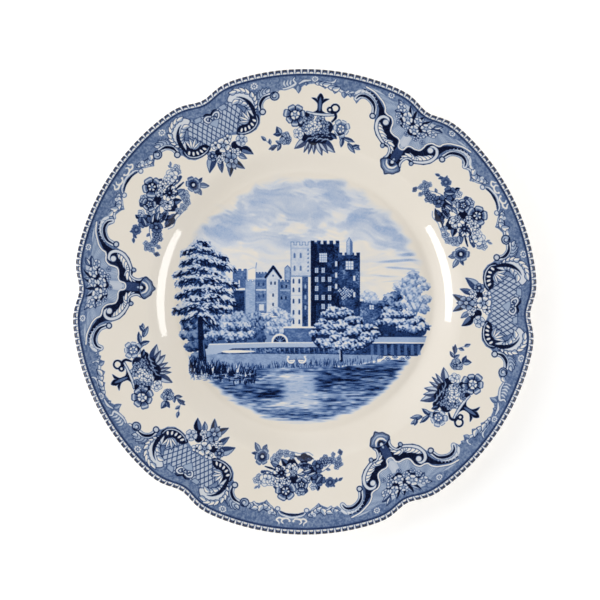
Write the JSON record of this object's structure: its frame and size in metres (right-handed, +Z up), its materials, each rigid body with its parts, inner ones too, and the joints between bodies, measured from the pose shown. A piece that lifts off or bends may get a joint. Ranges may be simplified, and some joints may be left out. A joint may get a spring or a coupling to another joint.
{
  "type": "dinner plate",
  "caption": "Round china dinner plate with a flat well, a broad rim cut into shallow lobes, and a foot ring, printed in blue under a clear glaze",
  "frame": {"origin": "centre of the foot ring's seat, on the surface that the plate stands on", "axes": "+Z up, square to the well; +Y to the top of the printed scene; +X to its right"},
  "size_m": [0.2526, 0.2544, 0.0228],
  "materials": {
    "biscuit": "matt fired earthenware, bare on the foot",
    "ink": "underglaze cobalt ink",
    "glaze": "glossy clear glaze over a warm cream body"
  },
  "bodies": {
    "root": {"biscuit_body": "biscuit", "centre_print": "ink", "border_print": "ink", "glaze_coat": "glaze", "base_glaze": "glaze"}
  },
  "joints": []
}
